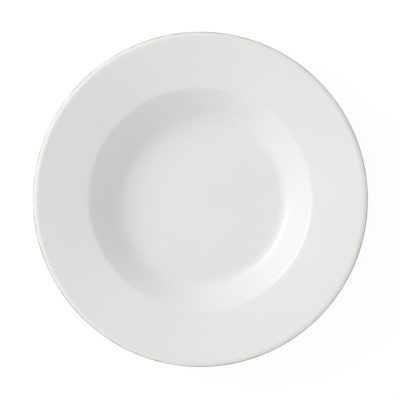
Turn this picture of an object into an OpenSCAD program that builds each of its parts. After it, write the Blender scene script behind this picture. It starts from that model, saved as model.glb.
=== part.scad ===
// Pasta plate: a deep, wide-rimmed plate of vitrified porcelain under a glassy white glaze.
// Sizes are in millimetres, and +Z is up. The origin is the centre of the foot ring's standing face.
// The plate is turned about Z, so every piece is one outline of radius and height.

/* [Rim] */
// Diameter over the lip
plate_d = 300; // [270:1:340]
// Rise of the rim from the well's edge out to the lip, as if it ran straight to the lip's face
rim_rise = 15; // [8:0.1:20]
// Thickness of the rim
rim_t = 4.8; // [3.5:0.1:6]

/* [Lip] */
// Width of the lip, from its crest out to its face
lip_w = 3.8; // [3:0.1:6]
// Fall of the lip's top from its crest out to its face, in degrees
lip_fall = 10; // [0:1:20]
// Radius of the round over the lip's crest
lip_crest_round = 4.5; // [1:0.1:6]
// Radius of the round from the lip's top over into its face
lip_edge_round = 1.8; // [1:0.1:2.2]
// Radius of the round from the lip's face into its underside
lip_under_round = 2; // [1:0.1:2.5]
// Height of the lip's face, before its edges are rounded
lip_face = 5.2; // [4.5:0.1:7]
// Width of the thickened band under the lip
lip_band_w = 13; // [9:0.5:20]
// Radius of the blend from that band into the underside of the rim
lip_band_blend = 20; // [5:1:40]

/* [Well] */
// Diameter of the well's edge, where the rim and the wall would meet unrounded
well_d = 201; // [184:1:220]
// Diameter of the well's floor, where the floor and the wall would meet unrounded
floor_d = 157; // [120:1:160]
// Depth of the well from its edge to its floor
well_depth = 23; // [15:0.5:35]
// Thickness of the wall
wall_t = 5; // [3.5:0.1:6.5]
// Thickness of the floor
floor_t = 5.5; // [4:0.1:7]
// Radius of the fillet from the floor up into the wall
floor_fillet = 15; // [5:0.5:25]
// Radius of the round from the wall over into the rim
edge_round = 8; // [3:0.5:14]
// Radius of the round where the underside turns up into the wall
under_round = 6; // [2:0.5:7]

/* [Foot ring] */
// Height of the foot ring below the underside of the floor
foot_h = 3.5; // [3:0.1:6]
// Width of the foot ring at the table
foot_w = 4.5; // [3:0.1:8]
// Distance from the underside's turn into the wall back to the foot ring
foot_inset = 5; // [4.5:0.1:12]
// Slope of the foot ring's sides from upright, in degrees
foot_draft = 15; // [0:1:25]
// Radius of the edges of the standing face
foot_round = 0.8; // [0.4:0.1:1]
// Radius of the fillets at the root of the foot ring
foot_fillet = 2; // [0.5:0.1:2.2]

/* [Glaze] */
// Thickness of the fired glaze
glaze_t = 0.3; // [0.1:0.05:0.5]
// Height up the foot ring that is wiped bare of glaze
bare_h = 1.2; // [1:0.1:1.5]

/* [Hidden] */
$fn = 180;
// Largest turn between neighbouring points of a round, in degrees
arc_step = 3;

plate_r = plate_d / 2;
well_r = well_d / 2;
floor_r = floor_d / 2;
floor_z = foot_h + floor_t;
edge_z = floor_z + well_depth;
lip_z = edge_z + rim_rise;

// Slopes of the rim and of the wall
rim_angle = atan2(rim_rise, plate_r - well_r);
wall_angle = atan2(well_depth, well_r - floor_r);

// Height of the upper surface of the rim at a radius
function rim_z(r) = lip_z - (plate_r - r) * tan(rim_angle);

// Height of the underside of the rim and of the wall at a radius, each parallel to its upper surface
function rim_under_z(r) = rim_z(r) - rim_t / cos(rim_angle);
function wall_under_z(r) = floor_z + (r - floor_r) * tan(wall_angle) - wall_t / cos(wall_angle);

// The lip turns down from the rim at its crest and falls to the upper edge of its face
crest_r = plate_r - lip_w;
lip_edge_z = rim_z(crest_r) - lip_w * tan(lip_fall);
lip_under_z = lip_edge_z - lip_face;
band_r = plate_r - lip_band_w;

// The undersides of the rim and of the wall meet at under_edge_r, and the wall's reaches the floor's at turn_r
under_edge_r = (rim_under_z(0) - wall_under_z(0)) / (tan(wall_angle) - tan(rim_angle));
under_edge_round = edge_round + wall_t;
turn_r = (foot_h - wall_under_z(0)) / tan(wall_angle);

// The foot ring, from its outer root round to its inner root
draft_w = foot_h * tan(foot_draft);
foot_root_r = turn_r - foot_inset;
foot_out_r = foot_root_r - draft_w;
foot_in_r = foot_out_r - foot_w;

// The finished outline, from the middle of the floor over the lip to the middle of the underside.
// Each corner is its radius, its height and the radius of its round. The material is on the right.
UPPER = [
    [0, floor_z, 0],
    [floor_r, floor_z, floor_fillet],
    [well_r, edge_z, edge_round],
    [crest_r, rim_z(crest_r), lip_crest_round],
    [plate_r, lip_edge_z, lip_edge_round],
    [plate_r, lip_under_z, lip_under_round],
    [band_r, rim_under_z(band_r), lip_band_blend],
    [under_edge_r, rim_under_z(under_edge_r), under_edge_round],
    [turn_r, foot_h, under_round],
    [foot_root_r, foot_h, foot_fillet]
];
FOOT = [
    [foot_out_r, 0, foot_round],
    [foot_in_r, 0, foot_round]
];
RECESS = [
    [foot_in_r - draft_w, foot_h, foot_fillet],
    [0, foot_h, 0]
];
OUTLINE = concat(UPPER, FOOT, RECESS);
// Corners of the foot ring in the outline: its roots, and the start of its standing face
OUTER_ROOT = len(UPPER) - 1;
STANDING = len(UPPER);
INNER_ROOT = len(UPPER) + len(FOOT);

function flat(corner) = [corner[0], corner[1]];
function unit(v) = v / norm(v);
function reversed(list) = [for (i = [len(list) - 1 : -1 : 0]) list[i]];
function part_of(list, first, last) = [for (i = [first : last]) list[i]];

// Signed turn of the outline at corner i, in degrees, positive to the left
function turn_at(corners, i) = let(
        u = flat(corners[i]) - flat(corners[i - 1]),
        v = flat(corners[i + 1]) - flat(corners[i]))
    atan2(cross(u, v), u * v);

// Corner b as an arc of its own round, tangent to the legs from a and to c
function arc(a, b, c) = let(
        u = unit(flat(b) - flat(a)),
        v = unit(flat(c) - flat(b)),
        turn = atan2(cross(u, v), u * v),
        start = flat(b) - u * b[2] * tan(abs(turn) / 2),
        centre = start + [-u[1], u[0]] * b[2] * sign(turn),
        steps = ceil(abs(turn) / arc_step))
    [for (k = [0 : steps]) let(t = turn * k / steps, s = start - centre)
        centre + [s[0] * cos(t) - s[1] * sin(t), s[0] * sin(t) + s[1] * cos(t)]];

// The points of an outline with its corners rounded
function rounded(corners) = let(last = len(corners) - 1) concat(
    [flat(corners[0])],
    [for (i = [1 : last - 1]) each arc(corners[i - 1], corners[i], corners[i + 1])],
    [flat(corners[last])]);

// Leg i of an outline, moved a distance to its right
function moved_leg(corners, i, distance) = let(
        p = flat(corners[i]),
        q = flat(corners[i + 1]),
        along = unit(q - p))
    [p + [along[1], -along[0]] * distance, q + [along[1], -along[0]] * distance];

// The point where the lines of two legs cross
function crossing(a, b) = let(u = a[1] - a[0], v = b[1] - b[0])
    a[0] + u * cross(b[0] - a[0], v) / cross(u, v);

// An outline under a coat: each leg moved in by the coat, apart from the bare leg, and the ends kept on the axis
function under_coat(corners, coat, bare_leg) = let(
        last = len(corners) - 1,
        legs = [for (i = [0 : last - 1]) moved_leg(corners, i, i == bare_leg ? 0 : coat)])
    [for (i = [0 : last])
        i == 0 ? [0, legs[0][0][1], 0]
        : i == last ? [0, legs[last - 1][1][1], 0]
        : let(p = crossing(legs[i - 1], legs[i]), bare = i == bare_leg || i - 1 == bare_leg)
            [p[0], p[1], corners[i][2] + (bare ? 0 : coat * sign(turn_at(corners, i)))]];

// The point of the leg from corner a to corner b at a height
function at_height(a, b, z) = let(t = (z - a[1]) / (b[1] - a[1]))
    [a[0] + (b[0] - a[0]) * t, z, 0];

// The glazed stretches of an outline, which end at the bare band on the foot ring
function upper_stretch(corners) = rounded(concat(
    part_of(corners, 0, OUTER_ROOT),
    [at_height(corners[OUTER_ROOT], corners[STANDING], bare_h)]));
function recess_stretch(corners) = rounded(concat(
    [at_height(corners[INNER_ROOT], corners[STANDING + 1], bare_h)],
    part_of(corners, INNER_ROOT, len(corners) - 1)));

CLAY = under_coat(OUTLINE, glaze_t, STANDING);

// A solid turned about Z from its outline
module turned(points) {
    rotate_extrude() polygon(points);
}

// The fired clay: floor, wall, rim, lip and foot ring in one piece, bare on its standing face
module porcelain_body() {
    color("#dedad2") turned(rounded(CLAY));
}

// The glaze from the middle of the floor over the lip and down the outside of the foot ring
module main_glaze() {
    color("#f1f0ed") turned(concat(upper_stretch(OUTLINE), reversed(upper_stretch(CLAY))));
}

// The glaze inside the foot ring, cut off from the rest by the bare standing face
module recess_glaze() {
    color("#f1f0ed") turned(concat(recess_stretch(OUTLINE), reversed(recess_stretch(CLAY))));
}

porcelain_body();
main_glaze();
recess_glaze();
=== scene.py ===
"""The looks of a white porcelain pasta plate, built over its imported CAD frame. Sizes are in metres."""
import math

import bpy
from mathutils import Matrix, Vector, noise


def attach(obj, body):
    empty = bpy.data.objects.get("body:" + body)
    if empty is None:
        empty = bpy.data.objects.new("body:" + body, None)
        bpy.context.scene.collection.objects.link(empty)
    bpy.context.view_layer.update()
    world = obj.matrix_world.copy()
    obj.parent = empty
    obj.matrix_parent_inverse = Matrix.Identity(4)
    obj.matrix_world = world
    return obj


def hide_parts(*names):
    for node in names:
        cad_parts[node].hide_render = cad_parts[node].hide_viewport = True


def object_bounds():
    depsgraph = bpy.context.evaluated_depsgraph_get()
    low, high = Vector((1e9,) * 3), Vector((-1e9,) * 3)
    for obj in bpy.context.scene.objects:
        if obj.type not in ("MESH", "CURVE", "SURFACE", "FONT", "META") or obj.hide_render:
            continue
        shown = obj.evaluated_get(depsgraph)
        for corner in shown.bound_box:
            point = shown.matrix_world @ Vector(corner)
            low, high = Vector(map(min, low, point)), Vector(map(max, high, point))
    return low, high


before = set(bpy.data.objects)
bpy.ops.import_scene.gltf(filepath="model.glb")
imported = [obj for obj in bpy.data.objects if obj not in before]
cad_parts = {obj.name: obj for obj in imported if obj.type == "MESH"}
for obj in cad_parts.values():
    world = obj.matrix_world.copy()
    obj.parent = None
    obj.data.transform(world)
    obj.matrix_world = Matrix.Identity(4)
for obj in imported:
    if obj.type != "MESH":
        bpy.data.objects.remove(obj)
CAD_LOW, CAD_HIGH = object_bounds()
UP = Vector((0, 0, 1))

# Sizes of the plate, as in the CAD model
PLATE_R = min(CAD_HIGH.x, CAD_HIGH.y, -CAD_LOW.x, -CAD_LOW.y)
WELL_R = 0.1005
FLOOR_R = 0.0785
RIM_RISE = 0.015
WELL_DEPTH = 0.023
RIM_T = 0.0048
WALL_T = 0.005
FLOOR_T = 0.0055
LIP_W = 0.0038
LIP_FALL = math.radians(10)
LIP_CREST_ROUND = 0.0045
LIP_EDGE_ROUND = 0.0018
LIP_UNDER_ROUND = 0.002
LIP_FACE = 0.0052
LIP_BAND_W = 0.013
LIP_BAND_BLEND = 0.020
FLOOR_FILLET = 0.015
EDGE_ROUND = 0.008
UNDER_ROUND = 0.006
FOOT_H = 0.0035
FOOT_W = 0.0045
FOOT_INSET = 0.005
FOOT_DRAFT = math.radians(15)
FOOT_ROUND = 0.0008
FOOT_FILLET = 0.002
GLAZE_T = 0.0003
BARE_H = 0.0012

# Fineness of the turned meshes, finer on the underside for its rings, and the turn of a sharp edge
SEGMENTS = 256
ARC_STEP = math.radians(4)
LEG_STEP = 0.0045
RING_STEP = 0.001
SHARP_TURN = math.radians(50)

# Unevenness of the fired glaze: how deep it ripples, and the length of a ripple
RIPPLE = 0.00006
RIPPLE_LENGTH = 0.035

# Faint rings that turning left in the underside: their depth, about how far apart they are,
# and where the line runs through the noise that their heights follow
RING_DEPTH = 0.00006
RING_PITCH = 0.004
RING_LINE = (0.4, 0.6)

# The glaze's end above the bare foot: the length and steps of its rounded edge, how far its line wanders
# and over what length, and the increment, lacunarity and octaves of that noise
BEAD_LENGTH = 0.00045
BEAD_STEPS = 6
WANDER = 0.00035
WANDER_LENGTH = 0.012
WANDER_NOISE = (1.0, 2.0, 3)

# The painted shade along the lip's upper edge, a grey line put where the edge is in shade: the number of
# that edge among the outline's corners, how far from the middle of the edge the painted shade is darkest and
# where it ends, and how far that strays
LIP_EDGE = 4
DARKEST_SHADE_REACH = 0.0003
SHADE_END_REACH = 0.0010
REACH_STRAY = 0.0003

# Colours, each from its darker to its lighter tone, and roughness
GLAZE_WHITE = ((0.846, 0.840, 0.832), (0.862, 0.856, 0.848))
# The next grey is painted shade along the lip's edge, darker than the bare clay under the glaze
EDGE_SHADE_GREY = ((0.42, 0.42, 0.415), (0.54, 0.54, 0.533))
CLAY_BUFF = ((0.68, 0.64, 0.58), (0.77, 0.73, 0.67))
GLAZE_ROUGHNESS = (0.32, 0.38)
GLAZE_IOR = 1.5
CLAY_ROUGHNESS = 0.75

# Patterns over the surfaces, with their scale per metre, and the range that most of a noise lies in
CLOUDS = {"Scale": 18.0, "Detail": 3.0}
PATCHES = {"Scale": 60.0, "Detail": 3.0}
HAZE = {"Scale": 60.0, "Detail": 4.0}
PEEL = {"Scale": 400.0, "Detail": 2.0}
GRAIN = {"Scale": 2500.0, "Detail": 3.0}
GRINDING = {"Scale": 700.0, "Distortion": 1.5, "Detail": 2.0}
NOISE_LOW, NOISE_HIGH = 0.3, 0.7

# Relief that is too fine for the meshes: its depth, and how strongly it shows
PEEL_RELIEF = {"Distance": 0.0003, "Strength": 0.04}
GRAIN_RELIEF = {"Distance": 0.0002, "Strength": 0.3}
GRINDING_RELIEF = {"Distance": 0.00005, "Strength": 0.25}

# The floor: half its side, the glow and the dark grey that make it white with a shadow where it is seen,
# and the grey that gives back light
FLOOR_HALF = 4.0
FLOOR_GLOW = 0.885
FLOOR_SHADE = 0.16
FLOOR_GREY = 0.6

# Light: the level of the world where it isn't seen directly, and the lamps, with their directions in degrees
WORLD_LEVEL = 0.64
LAMP_DISTANCE = 1.2
SOFTBOX = {"azimuth": 152, "elevation": 28, "size": (0.99, 0.47), "power": 7.35}
FILL = {"azimuth": 245, "elevation": 25, "size": (2.4, 1.1), "power": 2.4}

# View: the camera's sensor in millimetres, the share of the picture that the plate spans,
# and the camera's height and the point below it
SENSOR_MM = 36.0
PLATE_SHARE = 0.8397
CAMERA_DISTANCE = 1.15
CAMERA_AIM = Vector((-0.0003, -0.0006, 0))


def finished_outline():
    """Corners of the finished surface, from the middle of the floor over the lip to the middle underneath.

    They come in three stretches: down to the foot ring, the foot ring and the recess inside it. Each
    corner is its point and the radius of its round. The material is on the right."""
    floor_z = FOOT_H + FLOOR_T
    edge_z = floor_z + WELL_DEPTH
    lip_z = edge_z + RIM_RISE
    rim_slope = math.atan2(RIM_RISE, PLATE_R - WELL_R)
    wall_slope = math.atan2(WELL_DEPTH, WELL_R - FLOOR_R)

    def rim_z(r):
        return lip_z - (PLATE_R - r) * math.tan(rim_slope)

    def rim_under_z(r):
        return rim_z(r) - RIM_T / math.cos(rim_slope)

    def wall_under_z(r):
        return floor_z + (r - FLOOR_R) * math.tan(wall_slope) - WALL_T / math.cos(wall_slope)

    crest_r = PLATE_R - LIP_W
    lip_edge_z = rim_z(crest_r) - LIP_W * math.tan(LIP_FALL)
    band_r = PLATE_R - LIP_BAND_W
    under_edge_r = (rim_under_z(0) - wall_under_z(0)) / (math.tan(wall_slope) - math.tan(rim_slope))
    turn_r = (FOOT_H - wall_under_z(0)) / math.tan(wall_slope)
    root_r = turn_r - FOOT_INSET
    draft_w = FOOT_H * math.tan(FOOT_DRAFT)
    foot_out_r = root_r - draft_w
    foot_in_r = foot_out_r - FOOT_W
    upper = [
        (0, floor_z, 0),
        (FLOOR_R, floor_z, FLOOR_FILLET),
        (WELL_R, edge_z, EDGE_ROUND),
        (crest_r, rim_z(crest_r), LIP_CREST_ROUND),
        (PLATE_R, lip_edge_z, LIP_EDGE_ROUND),
        (PLATE_R, lip_edge_z - LIP_FACE, LIP_UNDER_ROUND),
        (band_r, rim_under_z(band_r), LIP_BAND_BLEND),
        (under_edge_r, rim_under_z(under_edge_r), EDGE_ROUND + WALL_T),
        (turn_r, FOOT_H, UNDER_ROUND),
        (root_r, FOOT_H, FOOT_FILLET),
    ]
    foot = [(foot_out_r, 0, FOOT_ROUND), (foot_in_r, 0, FOOT_ROUND)]
    recess = [(foot_in_r - draft_w, FOOT_H, FOOT_FILLET), (0, FOOT_H, 0)]
    return [[(Vector((r, z)), round_r) for r, z, round_r in part] for part in (upper, foot, recess)]


def turn_between(u, v):
    """Signed turn from direction u to direction v, positive to the left."""
    return math.atan2(u.cross(v), u.dot(v))


def right_of(direction):
    return Vector((direction.y, -direction.x))


def under_coat(corners, bare_leg):
    """The outline under the glaze: each leg moved in by its thickness, apart from the bare leg."""
    points = [p for p, _ in corners]
    along = [(q - p).normalized() for p, q in zip(points, points[1:])]
    coats = [0 if i == bare_leg else GLAZE_T for i in range(len(along))]
    moved = [p + right_of(d) * c for p, d, c in zip(points, along, coats)]
    clay = [(Vector((0, moved[0].y)), 0)]
    for i in range(1, len(along)):
        u, v = along[i - 1], along[i]
        meet = moved[i - 1] + u * ((moved[i] - moved[i - 1]).cross(v) / u.cross(v))
        coat = min(coats[i - 1], coats[i])
        clay.append((meet, corners[i][1] + math.copysign(coat, turn_between(u, v))))
    clay.append((Vector((0, moved[-1].y)), 0))
    return clay


def rounded(corners, under_step=LEG_STEP):
    """Points of an outline: its corners as arcs, and its straight legs in short steps.

    The legs that run inwards, on the underside, have steps of their own."""
    points = [corners[0][0]]

    def straight_to(q):
        p = points[-1]
        step = under_step if q.x < p.x else LEG_STEP
        steps = max(1, math.ceil((q - p).length / step))
        points.extend(p.lerp(q, k / steps) for k in range(1, steps + 1))

    for (a, _), (b, radius), (c, _) in zip(corners, corners[1:], corners[2:]):
        u, v = (b - a).normalized(), (c - b).normalized()
        turn = turn_between(u, v)
        start = b - u * radius * math.tan(abs(turn) / 2)
        centre = start - right_of(u) * math.copysign(radius, turn)
        straight_to(start)
        s = start - centre
        steps = math.ceil(abs(turn) / ARC_STEP)
        for k in range(1, steps + 1):
            cos_t, sin_t = math.cos(turn * k / steps), math.sin(turn * k / steps)
            points.append(centre + Vector((s.x * cos_t - s.y * sin_t, s.x * sin_t + s.y * cos_t)))
    straight_to(corners[-1][0])
    return points


def middle_of_round(corners, i):
    """The middle of the arc at a corner of an outline."""
    (a, _), (b, radius), (c, _) = corners[i - 1:i + 2]
    u, v = (b - a).normalized(), (c - b).normalized()
    return b + (v - u).normalized() * radius * (1 / math.cos(turn_between(u, v) / 2) - 1)


def bead(root, tip, outer):
    """The glaze's end on a side of the foot ring: a round from its full thickness down to the clay.

    The root and the tip are the ends of the clay's side there."""
    down = (tip - root).normalized()
    out = right_of(down) * (-GLAZE_T if outer else GLAZE_T)
    end = root.lerp(tip, (BARE_H - root.y) / (tip.y - root.y))
    start = end - down * BEAD_LENGTH
    angles = [math.pi / 2 * k / BEAD_STEPS for k in range(BEAD_STEPS + 1)]
    return [start + out * math.cos(a) + down * BEAD_LENGTH * math.sin(a) for a in angles]


def normals(points):
    """Outward direction at each point of an outline that has its material on the right."""
    ends = [points[0], *points, points[-1]]
    return [-right_of((c - a).normalized()) for a, c in zip(ends, ends[2:])]


def unevenness(place, outward_z):
    """Height of the glaze at a place, from its ripples and the rings underneath.

    It is never above the nominal surface."""
    ripple = RIPPLE * (noise.noise(place / RIPPLE_LENGTH) - 1) / 2
    across_rings = Vector((*RING_LINE, place.xy.length / RING_PITCH))
    rings = RING_DEPTH * (noise.noise(across_rings) - 1) / 2
    return ripple + rings * max(0, -outward_z)


def wander(place):
    """How far the end of the glaze strays up or down the side of the foot ring at a place."""
    return WANDER * noise.fractal(place / WANDER_LENGTH, *WANDER_NOISE)


def swung(radial, point):
    """A point or a direction of an outline, swung round Z to a radial direction."""
    return radial * point.x + UP * point.y


def lathe(name, outline, rippled=range(0), wandering=range(0), side=None):
    """A closed mesh turned about Z from an outline whose ends lie on the axis.

    The points numbered in rippled are uneven. Those in wandering stray together along a side."""
    outward = normals(outline)
    vertices = [UP * outline[0].y, UP * outline[-1].y]
    rings = []
    for i in range(1, len(outline) - 1):
        rings.append(range(len(vertices), len(vertices) + SEGMENTS))
        for k in range(SEGMENTS):
            angle = math.tau * k / SEGMENTS
            radial = Vector((math.cos(angle), math.sin(angle), 0))
            place = swung(radial, outline[i])
            if i in rippled:
                place += swung(radial, outward[i]) * unevenness(place, outward[i].y)
            if i in wandering:
                place += swung(radial, side) * wander(radial * outline[i].x)
            vertices.append(place)
    faces = []
    for k in range(SEGMENTS):
        n = (k + 1) % SEGMENTS
        faces.append((0, rings[0][k], rings[0][n]))
        faces.append((1, rings[-1][n], rings[-1][k]))
        faces.extend((a[k], b[k], b[n], a[n]) for a, b in zip(rings, rings[1:]))
    mesh = bpy.data.meshes.new(name)
    mesh.from_pydata(vertices, [], faces)
    mesh.shade_smooth()
    mesh.set_sharp_from_angle(angle=SHARP_TURN)
    piece = bpy.data.objects.new(name, mesh)
    bpy.context.scene.collection.objects.link(piece)
    return piece


def add_node(tree, kind, settings=None, **inputs):
    """A new node with its settings, and with its inputs set to a value or linked to an output.

    An input whose name isn't its own is given by its number, such as _0."""
    made = tree.nodes.new("ShaderNode" + kind)
    for key, value in (settings or {}).items():
        setattr(made, key, value)
    for key, value in inputs.items():
        socket = made.inputs[int(key[1:]) if key[1:].isdigit() else key.replace("_", " ")]
        if isinstance(value, bpy.types.NodeSocket):
            tree.links.new(value, socket)
        else:
            socket.default_value = value
    return made


def new_material(name):
    material = bpy.data.materials.new(name)
    material.use_nodes = True
    tree = material.node_tree
    tree.nodes.clear()
    return material, tree


def two_tone(tree, factor, tones):
    """A colour between two tones, by a noise."""
    ramp = add_node(tree, "ValToRGB", Fac=factor)
    for element, place, tone in zip(ramp.color_ramp.elements, (NOISE_LOW, NOISE_HIGH), tones):
        element.position = place
        element.color = (*tone, 1)
    return ramp.outputs["Color"]


def distance_from_circle(tree, place, radius, height):
    """Distance of a place from a level circle about Z."""
    flat = add_node(tree, "VectorMath", {"operation": "MULTIPLY"}, _0=place, _1=(1, 1, 0))
    from_axis = add_node(tree, "VectorMath", {"operation": "LENGTH"}, _0=flat.outputs["Vector"])
    up = add_node(tree, "SeparateXYZ", Vector=place)
    section = add_node(tree, "CombineXYZ", X=from_axis.outputs["Value"], Y=up.outputs["Z"])
    distance = add_node(tree, "VectorMath", {"operation": "DISTANCE"}, _0=section.outputs["Vector"],
                        _1=(radius, height, 0))
    return distance.outputs["Value"]


def painted_edge_shade(tree, place, patches, lip_edge):
    """1 where shade is painted along the lip's edge, and 0 where it ends. Patches make it stray."""
    stray = add_node(tree, "MapRange", Value=patches, From_Min=NOISE_LOW, From_Max=NOISE_HIGH,
                     To_Min=-REACH_STRAY, To_Max=REACH_STRAY).outputs["Result"]
    distance = distance_from_circle(tree, place, *lip_edge)
    strayed = add_node(tree, "Math", {"operation": "ADD"}, _0=distance, _1=stray).outputs[0]
    edge_shade_mask = add_node(tree, "MapRange", {"interpolation_type": "SMOOTHSTEP"}, Value=strayed,
                    From_Min=SHADE_END_REACH, From_Max=DARKEST_SHADE_REACH)
    return edge_shade_mask.outputs["Result"]


def glaze_material(lip_edge):
    """White glass over white clay, a little cloudy, with patchy grey shade painted along the lip's edge."""
    material, tree = new_material("white_glaze")
    place = add_node(tree, "TexCoord").outputs["Object"]
    clouds = add_node(tree, "TexNoise", Vector=place, **CLOUDS).outputs["Fac"]
    white = two_tone(tree, clouds, GLAZE_WHITE)
    patches = add_node(tree, "TexNoise", Vector=place, **PATCHES).outputs["Fac"]
    grey = two_tone(tree, patches, EDGE_SHADE_GREY)
    # Painted shade: a patchy grey line along the lip's edge, mixed into the glaze's white
    edge_shade_mask = painted_edge_shade(tree, place, patches, lip_edge)
    # The sockets of a Mix node for colours are inputs 6 and 7 and output 2
    colour = add_node(tree, "Mix", {"data_type": "RGBA"}, _0=edge_shade_mask, _6=white, _7=grey).outputs[2]
    haze = add_node(tree, "TexNoise", Vector=place, **HAZE).outputs["Fac"]
    smooth, rough = GLAZE_ROUGHNESS
    roughness = add_node(tree, "MapRange", Value=haze, To_Min=smooth, To_Max=rough).outputs["Result"]
    peel = add_node(tree, "TexNoise", Vector=place, **PEEL).outputs["Fac"]
    relief = add_node(tree, "Bump", Height=peel, **PEEL_RELIEF).outputs["Normal"]
    bsdf = add_node(tree, "BsdfPrincipled", Base_Color=colour, Roughness=roughness, IOR=GLAZE_IOR,
                    Normal=relief)
    add_node(tree, "OutputMaterial", Surface=bsdf.outputs["BSDF"])
    return material


def clay_material():
    """Bare fired clay: matte and fine-grained, with the rings that grinding left on the foot."""
    material, tree = new_material("bare_porcelain")
    place = add_node(tree, "TexCoord").outputs["Object"]
    grain = add_node(tree, "TexNoise", Vector=place, **GRAIN).outputs["Fac"]
    colour = two_tone(tree, grain, CLAY_BUFF)
    rings = add_node(tree, "TexWave", {"wave_type": "RINGS", "rings_direction": "Z"}, Vector=place,
                     **GRINDING).outputs["Fac"]
    ground = add_node(tree, "Bump", Height=rings, **GRINDING_RELIEF).outputs["Normal"]
    relief = add_node(tree, "Bump", Height=grain, Normal=ground, **GRAIN_RELIEF).outputs["Normal"]
    bsdf = add_node(tree, "BsdfPrincipled", Base_Color=colour, Roughness=CLAY_ROUGHNESS, Normal=relief)
    add_node(tree, "OutputMaterial", Surface=bsdf.outputs["BSDF"])
    return material


def seen_directly(tree):
    """1 for a ray from the camera, a reflection or a transmission, and 0 for one that gathers light."""
    path = add_node(tree, "LightPath").outputs
    seen = path["Is Camera Ray"]
    for kind in ("Is Glossy Ray", "Is Transmission Ray"):
        seen = add_node(tree, "Math", {"operation": "MAXIMUM"}, _0=seen, _1=path[kind]).outputs[0]
    return seen


def floor_material():
    """White where it is seen, with the plate's soft shadow, and grey for the light that it gives back."""
    material, tree = new_material("floor")
    given_back = add_node(tree, "BsdfDiffuse", Color=(FLOOR_GREY, FLOOR_GREY, FLOOR_GREY, 1))
    glow = add_node(tree, "Emission", Strength=FLOOR_GLOW)
    shade = add_node(tree, "BsdfDiffuse", Color=(FLOOR_SHADE, FLOOR_SHADE, FLOOR_SHADE, 1))
    seen = add_node(tree, "AddShader", _0=glow.outputs["Emission"], _1=shade.outputs["BSDF"])
    mix = add_node(tree, "MixShader", _0=seen_directly(tree), _1=given_back.outputs["BSDF"],
                   _2=seen.outputs["Shader"])
    add_node(tree, "OutputMaterial", Surface=mix.outputs["Shader"])
    return material


def main_glaze(upper, clay):
    """The glaze from the middle of the floor over the lip and down the outside of the foot ring."""
    standing = len(upper)
    root, tip = clay[standing - 1][0], clay[standing][0]
    end = bead(root, tip, outer=True)
    surface = rounded(upper + [(end[0], 0)], under_step=RING_STEP)
    backing = rounded(clay[:standing] + [(end[-1], 0)])
    first = len(surface) - 1
    return lathe("white_glaze", surface + end[1:] + backing[-2::-1], rippled=range(first),
                 wandering=range(first, first + BEAD_STEPS + 1), side=(root - tip).normalized())


def recess_glaze(recess, clay):
    """The glaze inside the foot ring, cut off from the rest by the bare standing face."""
    inner_root = len(clay) - len(recess)
    root, tip = clay[inner_root][0], clay[inner_root - 1][0]
    end = bead(root, tip, outer=False)
    surface = rounded([(end[0], 0)] + recess, under_step=RING_STEP)
    backing = rounded([(end[-1], 0)] + clay[inner_root:])
    points = backing[::-1] + end[-2:0:-1] + surface
    first = len(backing) - 1
    last = first + BEAD_STEPS
    return lathe("foot_recess_glaze", points, rippled=range(last + 1, len(points)),
                 wandering=range(first, last + 1), side=(root - tip).normalized())


def build_plate():
    upper, foot, recess = finished_outline()
    clay = under_coat(upper + foot + recess, bare_leg=len(upper))
    main = main_glaze(upper, clay)
    inside = recess_glaze(recess, clay)
    body = lathe("porcelain", rounded(clay))

    body.data.materials.append(clay_material())
    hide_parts("porcelain_body")
    glaze = glaze_material(middle_of_round(upper, LIP_EDGE))
    for piece, node in ((main, "main_glaze"), (inside, "recess_glaze")):
        piece.data.materials.append(glaze)
        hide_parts(node)
    for piece in (body, main, inside):
        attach(piece, "root")


def build_floor():
    mesh = bpy.data.meshes.new("floor")
    signs = ((-1, -1), (1, -1), (1, 1), (-1, 1))
    mesh.from_pydata([(x * FLOOR_HALF, y * FLOOR_HALF, 0) for x, y in signs], [], [(0, 1, 2, 3)])
    mesh.materials.append(floor_material())
    floor = bpy.data.objects.new("floor", mesh)
    bpy.context.scene.collection.objects.link(floor)


def add_lamp(name, azimuth, elevation, size, power):
    """A rectangular lamp that faces the plate from a direction given in degrees."""
    lamp = bpy.data.lights.new(name, "AREA")
    lamp.shape = "RECTANGLE"
    lamp.size, lamp.size_y = size
    lamp.energy = power
    across, up = math.radians(azimuth), math.radians(elevation)
    flat = math.cos(up)
    towards = Vector((math.cos(across) * flat, math.sin(across) * flat, math.sin(up)))
    holder = bpy.data.objects.new(name, lamp)
    holder.location = towards * LAMP_DISTANCE
    holder.rotation_mode = "QUATERNION"
    holder.rotation_quaternion = towards.to_track_quat("Z", "Y")
    bpy.context.scene.collection.objects.link(holder)


def build_light():
    world = bpy.data.worlds.new("studio")
    world.use_nodes = True
    tree = world.node_tree
    tree.nodes.clear()
    level = add_node(tree, "MapRange", Value=seen_directly(tree), To_Min=WORLD_LEVEL, To_Max=1.0)
    background = add_node(tree, "Background", Color=(1, 1, 1, 1), Strength=level.outputs["Result"])
    add_node(tree, "OutputWorld", Surface=background.outputs["Background"])
    bpy.context.scene.world = world
    add_lamp("softbox", **SOFTBOX)
    add_lamp("fill", **FILL)


def build_camera():
    """A camera straight above the plate, with +Y up in the picture."""
    camera = bpy.data.objects.new("camera", bpy.data.cameras.new("camera"))
    frame_w = 2 * PLATE_R / PLATE_SHARE
    camera.data.sensor_width = SENSOR_MM
    camera.data.lens = SENSOR_MM * (CAMERA_DISTANCE - CAD_HIGH.z) / frame_w
    camera.location = CAMERA_AIM + UP * CAMERA_DISTANCE
    bpy.context.scene.collection.objects.link(camera)
    bpy.context.scene.camera = camera


build_plate()
build_floor()
build_light()
build_camera()
bpy.context.scene.view_settings.view_transform = "Standard"
